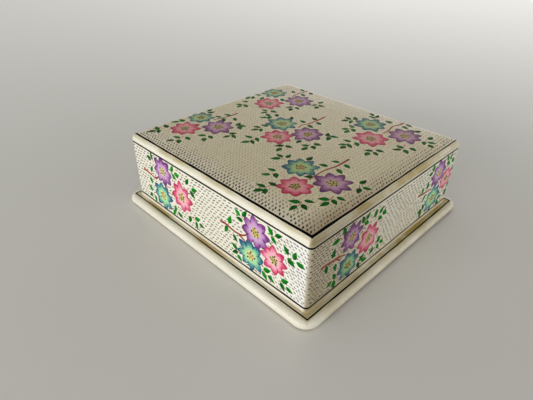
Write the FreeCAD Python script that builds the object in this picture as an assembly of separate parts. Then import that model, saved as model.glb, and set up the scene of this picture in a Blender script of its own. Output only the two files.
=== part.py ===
import FreeCAD, Part
import os

V = FreeCAD.Vector

# Low keepsake box with a lift-off lid, in millimetres, +Z up.
# The origin is on the table under the middle of the box.
# Front is -Y, left is -X.

# Walls
box_width = 125.0            # outside of the walls, along X
box_depth = 130.0            # outside of the walls, along Y
wall_height = 35.3
wall_thickness = 5.0
corner_round = 2.2           # upright corners of walls and lid

# Base board
base_thickness = 4.4
base_overhang = 6.1          # how far the base stands out past the walls
base_corner_radius = 7.5
base_bottom_round = 1.8
base_edge_flat = 0.1         # upright stretch of the edge between its two roundings

# Felt under the base
base_felt_thickness = 0.5
base_felt_inset = 5.8        # from the base's edge
base_felt_corner_radius = 3.0

# Pins that hold the walls on the base
pin_diameter = 1.2
pin_head_diameter = 2.6
pin_head_thickness = 0.6
pin_grip = 9.0               # how deep a pin goes into its wall
pin_end_distance = 22.0      # from the pin to the end of its wall
pin_hole_clearance = 0.02    # on the radius

# Lining on the floor of the box
floor_lining_thickness = 1.0
floor_lining_clearance = 0.3

# Lid
lid_thickness = 3.9
lid_edge_round = 3.0         # all round the lid's top
batten_width = 6.0
batten_height = 5.0
batten_clearance = 0.5       # between the strips and the walls, all round
lid_lining_thickness = 0.8
lid_lining_clearance = 0.3

# Levels
base_z = base_felt_thickness
wall_z = base_z + base_thickness
lid_z = wall_z + wall_height

# Outside of the base; the rounding on top takes up the rest of the edge
base_width = box_width + 2 * base_overhang
base_depth = box_depth + 2 * base_overhang
base_top_round = base_thickness - base_bottom_round - base_edge_flat

# Clear space between the walls
inner_width = box_width - 2 * wall_thickness
inner_depth = box_depth - 2 * wall_thickness

# Outside of the frame of strips under the lid, and the space inside that frame
frame_width = inner_width - 2 * batten_clearance
frame_depth = inner_depth - 2 * batten_clearance
frame_inner_width = frame_width - 2 * batten_width
frame_inner_depth = frame_depth - 2 * batten_width

SIDES = ("front", "right", "back", "left")


def block(width, depth, height, z):
    """Box centred on the Z axis, standing at z."""
    return Part.makeBox(width, depth, height, V(-width / 2, -depth / 2, z))


def upright_edges(shape):
    """Straight edges that run along Z."""
    return [e for e in shape.Edges if e.BoundBox.ZLength > max(e.BoundBox.XLength, e.BoundBox.YLength)]


def level_edges(shape, z):
    """Edges that lie flat at height z."""
    return [e for e in shape.Edges if round(e.BoundBox.ZMin - z, 3) == round(e.BoundBox.ZMax - z, 3) == 0]


def rounded_block(width, depth, height, z, radius):
    """Centred box with rounded upright corners."""
    plain = block(width, depth, height, z)
    return plain.makeFillet(radius, upright_edges(plain))


def mitre_wedge(side, width, depth, reach, height, z):
    """Prism that covers one side of a frame as far as the mitres at its corners."""
    x = width / 2
    y = depth / 2
    corners = {"front": (V(-x, -y, z), V(x, -y, z)), "right": (V(x, -y, z), V(x, y, z)),
               "back": (V(x, y, z), V(-x, y, z)), "left": (V(-x, y, z), V(-x, -y, z))}
    start, end = corners[side]
    along = (end - start).normalize()
    inward = V(-along.y, along.x, 0)
    inner_end = end + (inward - along) * reach
    inner_start = start + (inward + along) * reach
    outline = Part.makePolygon([start, end, inner_end, inner_start, start])
    return Part.Face(outline).extrude(V(0, 0, height))


def mitred_side(ring, side, width, depth, thickness, height, z):
    """One of the four boards of a frame, cut from the whole ring at its mitres."""
    wedge = mitre_wedge(side, width, depth, 2 * thickness, height, z)
    return ring.common(wedge).Solids[0]


def pin_places():
    """Middle line of each wall, two pins to a wall."""
    x_line = (box_width - wall_thickness) / 2
    y_line = (box_depth - wall_thickness) / 2
    x_spot = box_width / 2 - pin_end_distance
    y_spot = box_depth / 2 - pin_end_distance
    across = [(sx * x_spot, sy * y_line) for sx in (-1, 1) for sy in (-1, 1)]
    along = [(sx * x_line, sy * y_spot) for sx in (-1, 1) for sy in (-1, 1)]
    return across + along


def pin(x, y, clearance):
    """Panel pin, head down in the underside of the base."""
    shank_radius = pin_diameter / 2 + clearance
    head_radius = pin_head_diameter / 2 + clearance
    length = base_thickness + pin_grip
    shank = Part.makeCylinder(shank_radius, length, V(x, y, base_z))
    head = Part.makeCylinder(head_radius, pin_head_thickness, V(x, y, base_z))
    return shank.fuse(head).removeSplitter()


def pin_holes():
    return Part.makeCompound([pin(x, y, pin_hole_clearance) for x, y in pin_places()])


def make_base_board():
    board = rounded_block(base_width, base_depth, base_thickness, base_z, base_corner_radius)
    board = board.makeFillet(base_top_round, level_edges(board, wall_z))
    board = board.makeFillet(base_bottom_round, level_edges(board, base_z))
    return board.cut(pin_holes())


def make_walls():
    outside = rounded_block(box_width, box_depth, wall_height, wall_z, corner_round)
    ring = outside.cut(block(inner_width, inner_depth, wall_height, wall_z)).cut(pin_holes())
    return {"wall_" + side: mitred_side(ring, side, box_width, box_depth, wall_thickness, wall_height, wall_z)
            for side in SIDES}


def make_base_pins():
    return Part.makeCompound([pin(x, y, 0) for x, y in pin_places()])


def make_base_felt():
    width = base_width - 2 * base_felt_inset
    depth = base_depth - 2 * base_felt_inset
    return rounded_block(width, depth, base_felt_thickness, 0, base_felt_corner_radius)


def make_floor_lining():
    width = inner_width - 2 * floor_lining_clearance
    depth = inner_depth - 2 * floor_lining_clearance
    return block(width, depth, floor_lining_thickness, wall_z)


def make_lid_board():
    board = rounded_block(box_width, box_depth, lid_thickness, lid_z, corner_round)
    return board.makeFillet(lid_edge_round, level_edges(board, lid_z + lid_thickness))


def make_lid_battens():
    bottom = lid_z - batten_height
    outside = block(frame_width, frame_depth, batten_height, bottom)
    ring = outside.cut(block(frame_inner_width, frame_inner_depth, batten_height, bottom))
    return {"lid_batten_" + side: mitred_side(ring, side, frame_width, frame_depth, batten_width,
                                              batten_height, bottom)
            for side in SIDES}


def make_lid_lining():
    width = frame_inner_width - 2 * lid_lining_clearance
    depth = frame_inner_depth - 2 * lid_lining_clearance
    return block(width, depth, lid_lining_thickness, lid_z - lid_lining_thickness)


def make_parts():
    parts = {"base_board": make_base_board()}
    parts.update(make_walls())
    parts["base_pins"] = make_base_pins()
    parts["base_felt"] = make_base_felt()
    parts["floor_lining"] = make_floor_lining()
    parts["lid_board"] = make_lid_board()
    parts.update(make_lid_battens())
    parts["lid_lining"] = make_lid_lining()
    return parts


os.makedirs("parts", exist_ok=True)
for name, shape in make_parts().items():
    shape.exportStep("parts/" + name + ".step")
    print(name, len(shape.Solids), "solid(s),", round(shape.Volume, 1), "mm3, valid", shape.isValid())
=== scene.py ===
import math
import bpy
import bmesh
import numpy as np
from mathutils import Matrix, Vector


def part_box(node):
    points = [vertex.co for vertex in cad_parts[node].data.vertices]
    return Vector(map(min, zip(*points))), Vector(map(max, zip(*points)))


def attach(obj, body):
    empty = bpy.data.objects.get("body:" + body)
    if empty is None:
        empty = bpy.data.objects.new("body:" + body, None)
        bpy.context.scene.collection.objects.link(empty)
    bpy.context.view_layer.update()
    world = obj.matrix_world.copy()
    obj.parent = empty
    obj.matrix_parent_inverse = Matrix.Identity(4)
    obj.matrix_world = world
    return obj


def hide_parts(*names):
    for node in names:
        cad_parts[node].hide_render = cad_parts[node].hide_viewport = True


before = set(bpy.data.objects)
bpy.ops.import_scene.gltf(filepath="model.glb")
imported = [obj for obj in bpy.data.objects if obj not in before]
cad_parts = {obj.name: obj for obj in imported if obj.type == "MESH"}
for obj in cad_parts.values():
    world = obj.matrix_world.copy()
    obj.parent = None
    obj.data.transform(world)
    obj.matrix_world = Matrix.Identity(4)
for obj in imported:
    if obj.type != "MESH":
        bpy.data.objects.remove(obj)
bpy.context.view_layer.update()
print("frame loaded:", len(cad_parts), "nodes")

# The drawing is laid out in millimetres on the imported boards, front -Y, left -X, up +Z
mm = 0.001
dice = np.random.default_rng(11)
endDice = np.random.default_rng(5)  # only for the dashes that change at the left end of the front and back
lidLow, lidHigh = (np.array(corner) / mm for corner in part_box("lid_board"))
baseLow, baseHigh = (np.array(corner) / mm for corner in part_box("base_board"))
halfWidth, halfDepth, lidTop = lidHigh
seamHeight = lidLow[2]
footHeight = baseHigh[2]
baseBottom = baseLow[2]
# As built, apart from lidCorner, which is the rounding that the lid's rolled corners come nearest to
boards = {"cornerRound": 2.2, "wallThickness": 5.0, "lidRound": 3.0, "lidCorner": 2.5}


# Shader helpers

def tone(red, green, blue):  # screen colour, 0 to 255, as the linear values a shader takes
    screen = np.array((red, green, blue)) / 255
    linear = np.where(screen < 0.04045, screen / 12.92, ((screen + 0.055) / 1.055) ** 2.4)
    return (*linear.tolist(), 1.0)


def put(tree, kind, inputs=None, **settings):  # adds a node, with sockets linked and numbers set
    made = tree.nodes.new(kind)
    for key, value in settings.items():
        setattr(made, key, value)
    for key, value in (inputs or {}).items():
        if isinstance(value, bpy.types.NodeSocket):
            tree.links.new(value, made.inputs[key])
        else:
            made.inputs[key].default_value = value
    return made


def useGroup(tree, group, inputs):
    return put(tree, "ShaderNodeGroup", inputs, node_tree=group).outputs


def wire(tree, inputs, sockets):
    for key, socket in sockets.items():
        tree.links.new(socket, inputs[key])


def calc(tree, operation, first, second=0.0):
    return put(tree, "ShaderNodeMath", {0: first, 1: second}, operation=operation).outputs[0]


def plus(tree, first, second):
    return calc(tree, "ADD", first, second)


def minus(tree, first, second):
    return calc(tree, "SUBTRACT", first, second)


def times(tree, first, second):
    return calc(tree, "MULTIPLY", first, second)


def blend(tree, share, first, second):  # number between first and second
    return plus(tree, first, times(tree, share, minus(tree, second, first)))


def sway(tree, value, size):  # a value of 0 to 1 as a swing of that size about zero
    return times(tree, minus(tree, value, 0.5), size)


def mixTone(tree, share, first, second, way="MIX"):
    mix = put(tree, "ShaderNodeMix", {0: share, 6: first, 7: second}, data_type="RGBA", blend_type=way)
    return mix.outputs[2]


def fade(tree, value, low, high, start=0.0, end=1.0):  # smooth step from start to end
    limits = {"Value": value, "From Min": low, "From Max": high, "To Min": start, "To Max": end}
    return put(tree, "ShaderNodeMapRange", limits, interpolation_type="SMOOTHSTEP").outputs["Result"]


def fadeFrom(tree, value, edge, low, high, start=0.0, end=1.0):  # the same, low and high in mm past edge
    return fade(tree, value, (edge + low) * mm, (edge + high) * mm, start, end)


def noise(tree, place, scale, detail, output="Fac", **more):
    values = {"Vector": place, "Scale": scale, "Detail": detail, **more}
    return put(tree, "ShaderNodeTexNoise", values).outputs[output]


def vectorMath(tree, operation, first, second):
    return put(tree, "ShaderNodeVectorMath", {0: first, 1: second}, operation=operation).outputs[0]


def split(tree, place):
    return put(tree, "ShaderNodeSeparateXYZ", {0: place}).outputs


def objectPlace(tree):
    return put(tree, "ShaderNodeTexCoord").outputs["Object"]


def stretched(tree, scale):
    return put(tree, "ShaderNodeMapping", {"Vector": objectPlace(tree), "Scale": scale}).outputs[0]


def newGroup(name, takes, gives):
    tree = bpy.data.node_groups.new(name, "ShaderNodeTree")
    kinds = {"v": "NodeSocketVector", "c": "NodeSocketColor", "f": "NodeSocketFloat"}
    for side, sockets in (("INPUT", takes), ("OUTPUT", gives)):
        for label, kind in sockets.items():
            tree.interface.new_socket(label, in_out=side, socket_type=kinds[kind])
    return tree, tree.nodes.new("NodeGroupInput").outputs, tree.nodes.new("NodeGroupOutput").inputs


def newMaterial(name, **values):  # values are the shader's plain sockets, with _ for each space
    material = bpy.data.materials.new(name)
    material.use_nodes = True
    tree = material.node_tree
    shader = tree.nodes["Principled BSDF"]
    for key, value in values.items():
        shader.inputs[key.replace("_", " ")].default_value = value
    return material, tree, shader.inputs


def bumpUp(tree, inputs, height, strength, distance):
    bump = put(tree, "ShaderNodeBump", {"Height": height, "Strength": strength, "Distance": distance})
    wire(tree, inputs, {"Normal": bump.outputs["Normal"]})


# Effects that several finishes share; two or four values together in a dictionary are those of a fade

lacquerWear = {
    "cloudScale": 42, "grainScale": 900, "cellScale": 230, "crazeWidth": 0.03, "crazeDepth": 0.16,
    "crazeClouds": (0.52, 0.7), "ageingAndShade": (0.3, 0.72, 0.35, 1.25), "speck": (0.35, 0.7, 0.97, 1.02),
    "roughness": (0.3, 0.7, 0.27, 0.4), "grainHeight": 0.4,
}


def makeAgedLacquer():  # cloudy yellowing, fine specks, and a few craze lines where the clouds are densest
    takes = {"Place": "v", "Ground": "c", "Aged": "c", "AgeingAndShade": "f"}
    tree, given, wanted = newGroup("agedLacquer", takes, {"Colour": "c", "Roughness": "f", "Height": "f"})
    place = given["Place"]
    clouds = noise(tree, place, lacquerWear["cloudScale"], 5)
    grain = noise(tree, place, lacquerWear["grainScale"], 2)
    cells = put(tree, "ShaderNodeTexVoronoi", {"Vector": place, "Scale": lacquerWear["cellScale"]},
                feature="DISTANCE_TO_EDGE").outputs["Distance"]
    craze = times(tree, fade(tree, cells, 0.0, lacquerWear["crazeWidth"], 1, 0),
                  fade(tree, clouds, *lacquerWear["crazeClouds"]))
    # the ageing share also carries painted shade at the walls' foot and on the base
    share = times(tree, given["AgeingAndShade"], fade(tree, clouds, *lacquerWear["ageingAndShade"]))
    colour = mixTone(tree, share, given["Ground"], given["Aged"])
    speck = fade(tree, grain, *lacquerWear["speck"])
    grey = put(tree, "ShaderNodeCombineColor", {0: speck, 1: speck, 2: speck}).outputs[0]
    colour = mixTone(tree, 1.0, colour, grey, "MULTIPLY")
    colour = mixTone(tree, times(tree, craze, lacquerWear["crazeDepth"]), colour, given["Aged"], "MULTIPLY")
    height = minus(tree, times(tree, grain, lacquerWear["grainHeight"]), craze)
    roughness = fade(tree, clouds, *lacquerWear["roughness"])
    wire(tree, wanted, {"Colour": colour, "Roughness": roughness, "Height": height})
    return tree


brushStreaks = {"along": 1.6, "contrast": (0.25, 0.75)}


def makeBrushMarks():  # streaks that run along the brush: fine noise, long in y and narrow in x
    tree, given, wanted = newGroup("brushMarks", {"Brush": "v", "Fineness": "f"}, {"Marks": "f"})
    fineness = {0: given["Fineness"], 1: brushStreaks["along"], 2: 1.0}
    stretch = put(tree, "ShaderNodeCombineXYZ", fineness).outputs[0]
    streaks = noise(tree, vectorMath(tree, "MULTIPLY", given["Brush"], stretch), 1.0, 3)
    wire(tree, wanted, {"Marks": fade(tree, streaks, *brushStreaks["contrast"])})
    return tree


feltFibres = {"bendScale": 700, "drift": 0.004, "hairScale": 1800, "patchScale": 60, "hairShare": 0.7,
              "contrast": (0.3, 0.7)}


def makeFeltNap():  # matted fibres: fine noise pushed about by a coarser one, over faint patches
    tree, given, wanted = newGroup("feltNap", {"Place": "v"}, {"Fibre": "f", "Height": "f"})
    bend = noise(tree, given["Place"], feltFibres["bendScale"], 3, "Color")
    drift = vectorMath(tree, "MULTIPLY", bend, [feltFibres["drift"]] * 3)
    hair = noise(tree, vectorMath(tree, "ADD", given["Place"], drift), feltFibres["hairScale"], 4)
    patch = noise(tree, given["Place"], feltFibres["patchScale"], 3)
    mixed = blend(tree, feltFibres["hairShare"], patch, hair)
    wire(tree, wanted, {"Fibre": fade(tree, mixed, *feltFibres["contrast"]), "Height": hair})
    return tree


# painted shade on the front faces, darkest towards the left end, with an amber tone of yellowed varnish
frontShade = {"tint": (0.51, 0.465, 0.385, 1), "face": (0.5, 2.2), "end": 14, "aboveBase": (0.0, 0.5)}  # mm


def atFront(tree, y):  # 1 on the front faces
    return fadeFrom(tree, y, -halfDepth, *frontShade["face"], 1, 0)


def makeFrontShadeTint():  # painted shade on the front faces above the base, darkest towards the left end, amber-toned as yellowed varnish
    tree, given, wanted = newGroup("frontShadeTint", {"Place": "v"}, {"Tint": "c"})
    x, y, z = split(tree, given["Place"])
    share = times(tree, atFront(tree, y), fade(tree, x, -halfWidth * mm, frontShade["end"] * mm, 1, 0))
    share = times(tree, share, fadeFrom(tree, z, footHeight, *frontShade["aboveBase"]))
    wire(tree, wanted, {"Tint": mixTone(tree, share, (1, 1, 1, 1), frontShade["tint"])})
    return tree


agedLacquer = makeAgedLacquer()
brushMarks = makeBrushMarks()
feltNap = makeFeltNap()
frontShadeTint = makeFrontShadeTint()
print("shared effects made")


# multiplies a colour by the front's painted shade and its amber tone
def varnishedAndShaded(tree, colour):
    tint = useGroup(tree, frontShadeTint, {"Place": objectPlace(tree)})["Tint"]
    return mixTone(tree, 1.0, colour, tint, "MULTIPLY")


# Finishes of the boards: a ground that ages towards a second tone, partly as painted shade, and the surfaces
# never decorated, which at the base's front also paint a contact shadow

lacquerShine = {"Coat_Weight": 0.25, "Coat_Roughness": 0.18}
lacquerBump = {"strength": 0.12, "distance": 0.0002}
lacquerTones = {"cream": tone(252, 249, 234), "inside": tone(20, 17, 15)}  # cream on the rim and the base


def lacquerFinish(name, ground, aged, ageingAndShade, hiddenOrShaded, hiddenOrShadowTone):
    # ground, the ageing with its painted shade, and the hidden or shaded parts are functions of the tree and
    # of x, y, z, in metres
    material, tree, inputs = newMaterial(name, **lacquerShine)
    place = objectPlace(tree)
    where = split(tree, place)
    coat = useGroup(tree, agedLacquer, {"Place": place, "Ground": ground(tree, *where), "Aged": aged,
                                        "AgeingAndShade": ageingAndShade(tree, *where)})
    colour = mixTone(tree, hiddenOrShaded(tree, *where), varnishedAndShaded(tree, coat["Colour"]), hiddenOrShadowTone)
    wire(tree, inputs, {"Base Color": colour, "Roughness": coat["Roughness"]})
    bumpUp(tree, inputs, coat["Height"], **lacquerBump)
    return material


lidLook = {  # fades in mm from the edge named, then shares of the tone named
    "top": tone(227, 215, 181), "edge": tone(240, 231, 206), "stain": tone(162, 135, 100),
    "rimAged": tone(180, 160, 88),
    "topBelow": (-0.4, -0.15), "edgeBand": (-20, -3), "stainBand": (2.5, 15, 0.8, 0),
    "stainEnd": 30, "stainLeast": 0.15, "sideAgeing": (1.2, 3.0, 0.03, 0.72),
    "frontAgeing": (0.2, 2.2, 0.35, 1.15), "topAgeing": 0.12, "undersideBelow": 0.02,
}


def onLidTop(tree, z):  # 1 inside the border line
    return fadeFrom(tree, z, lidTop, *lidLook["topBelow"])


def lidGround(tree, x, y, z):  # the decorated top is darker in the middle than towards the left and right borders, and stained brown along the front, most towards the left
    nearSide = fadeFrom(tree, calc(tree, "ABSOLUTE", x), halfWidth, *lidLook["edgeBand"])
    top = mixTone(tree, nearSide, lidLook["top"], lidLook["edge"])
    leftwards = fade(tree, x, -halfWidth * mm, lidLook["stainEnd"] * mm, 1, lidLook["stainLeast"])
    stain = times(tree, fadeFrom(tree, y, -halfDepth, *lidLook["stainBand"]), leftwards)
    top = mixTone(tree, stain, top, lidLook["stain"])
    return mixTone(tree, onLidTop(tree, z), lacquerTones["cream"], top)


def rimAgeing(tree, x, y, z):  # varnish has yellowed along the upper half of the rim, more so at the front
    side = fadeFrom(tree, z, seamHeight, *lidLook["sideAgeing"])
    front = fadeFrom(tree, z, seamHeight, *lidLook["frontAgeing"])
    return blend(tree, onLidTop(tree, z), blend(tree, atFront(tree, y), side, front), lidLook["topAgeing"])


def underLid(tree, x, y, z):
    return calc(tree, "LESS_THAN", z, (seamHeight + lidLook["undersideBelow"]) * mm)


wallLook = {
    "ground": tone(248, 245, 231), "groundLit": tone(253, 253, 250), "aged": tone(226, 208, 168),
    "litBand": (0, 25, 1, 0), "footShadeAndAgeing": (0.2, 2.2, 0.35, 0.05), "frontAgeing": 0.2, "insidePast": 0.3,
}


def wallGround(tree, x, y, z):  # painted light: the side walls are whitest towards the front
    near = fadeFrom(tree, y, -halfDepth, *wallLook["litBand"])
    share = times(tree, near, minus(tree, 1.0, atFront(tree, y)))
    return mixTone(tree, share, wallLook["ground"], wallLook["groundLit"])


def footShadeAndAgeing(tree, x, y, z):  # yellowed at the front; in the corner between walls and base, painted shade with yellowing
    foot = fadeFrom(tree, z, footHeight, *wallLook["footShadeAndAgeing"])
    return plus(tree, foot, times(tree, atFront(tree, y), wallLook["frontAgeing"]))


def insideWalls(tree, x, y, z):  # 1 inside the box, 0 on the outer faces of the walls
    within = [calc(tree, "LESS_THAN", calc(tree, "ABSOLUTE", along),
                   (half - boards["wallThickness"] + wallLook["insidePast"]) * mm)
              for along, half in ((x, halfWidth), (y, halfDepth))]
    return times(tree, *within)


baseLook = {
    "aged": tone(176, 152, 74), "underside": tone(120, 92, 62), "strip": (2.0, 4.2), "cornerEnd": -70,
    "cornerShadeAndAgeing": (0.45, 0.75), "frontAgeing": 0.2, "edgeAgeing": 0.12, "frontEdgeShadeAndAgeing": 0.36,
    "frontFrom": (0, 14), "bareBelow": (0.05, 0.4, 1, 0), "contactShadowBelow": (0.4, 2.1, 1, 0),
}


def alongFront(tree, x, y):  # 1 on the front of the base, 0 at its left end
    return times(tree, atFront(tree, y), fadeFrom(tree, x, -halfWidth, *baseLook["frontFrom"]))


def baseGround(tree, x, y, z):
    return lacquerTones["cream"]


def baseShadeAndAgeing(tree, x, y, z):  # painted shade with yellowing: most on the strip between walls and base line, where the walls shade it, and along the front, least at the near corner
    corner = -(halfWidth + halfDepth) * mm
    strip = fade(tree, plus(tree, x, y), corner, baseLook["cornerEnd"] * mm, *baseLook["cornerShadeAndAgeing"])
    strip = plus(tree, strip, times(tree, atFront(tree, y), baseLook["frontAgeing"]))
    edge = times(tree, alongFront(tree, x, y), baseLook["frontEdgeShadeAndAgeing"])
    edge = plus(tree, edge, baseLook["edgeAgeing"])
    beside = [minus(tree, calc(tree, "ABSOLUTE", along), half * mm)
              for along, half in ((x, halfWidth), (y, halfDepth))]
    return fadeFrom(tree, calc(tree, "MAXIMUM", *beside), 0, *baseLook["strip"], strip, edge)


def bareUndersideAndShadow(tree, x, y, z):  # bare below; on the front's lower rounding the bare tone is also a painted contact shadow
    paintedShadow = times(tree, fadeFrom(tree, z, baseBottom, *baseLook["contactShadowBelow"]), alongFront(tree, x, y))
    return calc(tree, "MAXIMUM", fadeFrom(tree, z, baseBottom, *baseLook["bareBelow"]), paintedShadow)


battenLook = {"stretch": (90, 90, 260), "early": tone(205, 168, 118), "late": tone(160, 116, 70),
              "pore": tone(110, 74, 42), "poreScale": 9.0, "pores": (0.55, 0.75, 0, 0.35),
              "rings": (0.3, 0.7), "roughness": (0.42, 0.6), "bump": (0.2, 0.0002)}


def woodFinish():  # pale planed strips: growth rings squeezed across the grain, with fine pores
    material, tree, inputs = newMaterial("battenWood")
    place = stretched(tree, battenLook["stretch"])
    rings = noise(tree, place, 1.0, 6, Distortion=0.6)
    pores = noise(tree, place, battenLook["poreScale"], 2)
    colour = mixTone(tree, fade(tree, rings, *battenLook["rings"]), battenLook["early"], battenLook["late"])
    colour = mixTone(tree, fade(tree, pores, *battenLook["pores"]), colour, battenLook["pore"])
    roughness = fade(tree, rings, *battenLook["rings"], *battenLook["roughness"])
    wire(tree, inputs, {"Base Color": colour, "Roughness": roughness})
    bumpUp(tree, inputs, pores, *battenLook["bump"])
    return material


pinLook = {"stretch": (900, 900, 5000), "dark": tone(170, 170, 172), "light": tone(205, 204, 202),
           "roughness": (0.2, 0.8, 0.28, 0.5)}


def pinFinish():  # drawn wire: faint rings of the die along the shank
    material, tree, inputs = newMaterial("pinSteel", Metallic=1.0)
    marks = noise(tree, stretched(tree, pinLook["stretch"]), 1.0, 3)
    colour = mixTone(tree, marks, pinLook["dark"], pinLook["light"])
    roughness = fade(tree, marks, *pinLook["roughness"])
    wire(tree, inputs, {"Base Color": colour, "Roughness": roughness})
    return material


finishes = {
    "lid_board": lacquerFinish("lidLacquer", lidGround, lidLook["rimAged"], rimAgeing, underLid,
                               lacquerTones["inside"]),
    "wall": lacquerFinish("wallLacquer", wallGround, wallLook["aged"], footShadeAndAgeing, insideWalls,
                          lacquerTones["inside"]),
    "base_board": lacquerFinish("baseLacquer", baseGround, baseLook["aged"], baseShadeAndAgeing, bareUndersideAndShadow,
                                baseLook["underside"]),
    "batten": woodFinish(),
    "base_pins": pinFinish(),
}
for nodeName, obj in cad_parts.items():
    kind = next((key for key in finishes if key in nodeName), None)
    if kind:
        obj.data.materials.clear()
        obj.data.materials.append(finishes[kind])
print("boards finished")


# Paints: each painted shape carries three values in its tint, and the run of the brush in a map

petalLook = {
    "gloss": 0.25, "fineness": 6.0, "marks": 0.42, "shade": 0.16, "parting": 0.2, "edge": (0.6, 1.0),
    "edgeReach": (0.35, 0.7), "middle": (0.42, 0.78), "deep": (0.68, 0.98), "roughness": (0.3, 0.44),
    "bump": (0.08, 0.0001),
}
strokeLook = {"across": 0.55, "shade": 0.5, "marks": 0.5, "second": (0.1, 0.95), "roughness": (0.32, 0.48)}


def paintTint(tree):
    attribute = put(tree, "ShaderNodeAttribute", attribute_name="tint")
    return put(tree, "ShaderNodeSeparateColor", {0: attribute.outputs["Color"]}).outputs


def brushedMarks(tree, fineness):
    brush = put(tree, "ShaderNodeUVMap", uv_map="brush").outputs["UV"]
    return useGroup(tree, brushMarks, {"Brush": brush, "Fineness": fineness})["Marks"]


def petalPaint(name, deep, middle, pale):  # pale heart, deepening to the tips and to the edges of each petal
    material, tree, inputs = newMaterial(name, Specular_IOR_Level=petalLook["gloss"])
    reach, edge, shade = paintTint(tree)
    marks = brushedMarks(tree, petalLook["fineness"])
    parting = times(tree, fade(tree, edge, *petalLook["edge"]), fade(tree, reach, *petalLook["edgeReach"]))
    depth = plus(tree, reach, sway(tree, marks, petalLook["marks"]))
    depth = plus(tree, depth, sway(tree, shade, petalLook["shade"]))
    depth = plus(tree, depth, times(tree, parting, petalLook["parting"]))
    colour = mixTone(tree, fade(tree, depth, *petalLook["middle"]), pale, middle)
    colour = mixTone(tree, fade(tree, depth, *petalLook["deep"]), colour, deep)
    roughness = fade(tree, marks, 0, 1, *petalLook["roughness"])
    wire(tree, inputs, {"Base Color": varnishedAndShaded(tree, colour), "Roughness": roughness})
    bumpUp(tree, inputs, marks, *petalLook["bump"])
    return material


def twoTonePaint(name, first, second, fineness, gloss):  # across the stroke from one tone to the other
    material, tree, inputs = newMaterial(name, Specular_IOR_Level=gloss)
    along, across, shade = paintTint(tree)
    marks = brushedMarks(tree, fineness)
    share = plus(tree, times(tree, across, strokeLook["across"]), times(tree, shade, strokeLook["shade"]))
    share = plus(tree, share, sway(tree, marks, strokeLook["marks"]))
    colour = mixTone(tree, fade(tree, share, *strokeLook["second"]), first, second)
    roughness = fade(tree, marks, 0, 1, *strokeLook["roughness"])
    wire(tree, inputs, {"Base Color": varnishedAndShaded(tree, colour), "Roughness": roughness})
    return material


petalTones = {
    "pink": ((184, 4, 72), (236, 78, 130), (255, 192, 208)),
    "teal": ((2, 62, 126), (40, 146, 152), (180, 236, 176)),
    "purple": ((88, 6, 100), (150, 70, 162), (218, 176, 222)),
}
strokeTones = {
    "heart": ((208, 188, 110), (240, 224, 154)), "stamen": ((14, 9, 2), (44, 29, 9)),
    "leaf": ((0, 74, 8), (0, 160, 24)), "stem": ((112, 30, 12), (192, 82, 42)),
    "stalk": ((172, 78, 56), (216, 146, 116)), "line": ((4, 3, 2), (14, 10, 6)),
}
dashTones = {"lid": ((66, 48, 28), (204, 192, 162)), "box": ((50, 46, 36), (140, 134, 114))}
strokeFineness = {"heart": 3.0, "others": 5.0}
strokeGloss = {"line": 0.05, "leaf": 0.05, "dash": 0.05, "others": 0.2}
washes = {  # the lid's varnish has darkened over the colours
    "lid": {"others": (0.75, 0.67, 0.54), "leaf": (0.85, 0.52, 0.7), "heart": (0.57, 0.52, 0.41),
            "teal": (0.82, 0.63, 0.5), "pink": (0.76, 0.56, 0.5), "dash": (1, 1, 1)},
    "box": {"others": (1, 1, 1)},
}


def pick(choices, key):
    return choices.get(key, choices["others"])


def washed(tones, wash):
    return [(*(np.array(tone(*screen)[:3]) * wash).tolist(), 1.0) for screen in tones]


def mixPaints(body):
    made = {key: petalPaint(body + "Petal" + key.title(), *washed(tones, pick(washes[body], key)))
            for key, tones in petalTones.items()}
    for key, tones in {**strokeTones, "dash": dashTones[body]}.items():
        made[key] = twoTonePaint(body + key.title(), *washed(tones, pick(washes[body], key)),
                                 pick(strokeFineness, key), pick(strokeGloss, key))
    return made


paints = {body: mixPaints(body) for body in ("lid", "box")}
print("paints mixed")


# Places on the box

wallFacing = {"front": (0, -1), "right": (1, 0), "back": (0, 1), "left": (-1, 0)}
edgeDip = 0.006  # mm by which the edges of all paint go under the ground


def lidDrop(x, y):
    # how far the lid lies under its flat top: R - sqrt(R^2 - (R - d)^2), with d the distance in from the
    # outline, a rectangle with corners of radius lidCorner
    corner = boards["lidCorner"]
    radius = boards["lidRound"]
    pastX = np.abs(x) - halfWidth + corner
    pastY = np.abs(y) - halfDepth + corner
    past = np.where(np.minimum(pastX, pastY) > 0, np.hypot(pastX, pastY), np.maximum(pastX, pastY))
    climb = np.clip(past + radius - corner, 0, radius)
    return radius - np.sqrt(radius ** 2 - climb ** 2)


def onPanel(name, u, v, lift):
    # u to the right and v up from the middle of the lid, or of a wall's top edge; a wall is flat in the
    # middle, and past the start of its rounded corner u is measured round an arc of cornerRound
    if name == "lid":
        return np.stack([u, v, lidTop + lift - lidDrop(u, v)], axis=-1)
    outX, outY = wallFacing[name]
    radius = boards["cornerRound"]
    flat = (halfWidth if outX == 0 else halfDepth) - radius
    turn = np.maximum(np.abs(u) - flat, 0) / radius
    along = np.sign(u) * (np.minimum(np.abs(u), flat) + (radius + lift) * np.sin(turn))
    out = (radius + lift) * np.cos(turn) - radius
    x = outX * (halfWidth + out) - outY * along
    y = outY * (halfDepth + out) + outX * along
    return np.stack([x, y, seamHeight + v + 0 * out], axis=-1)


def gridQuads(count, rows, cols, closed=False):  # corner numbers of each cell, one grid after another
    cell = np.arange(rows * cols).reshape(rows, cols)
    if closed:
        cell = np.concatenate([cell, cell[:, :1]], axis=1)
    quads = np.stack([cell[:-1, :-1], cell[1:, :-1], cell[1:, 1:], cell[:-1, 1:]], axis=-1).reshape(-1, 4)
    return (quads[None] + (np.arange(count) * rows * cols)[:, None, None]).reshape(-1, 4)


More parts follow.
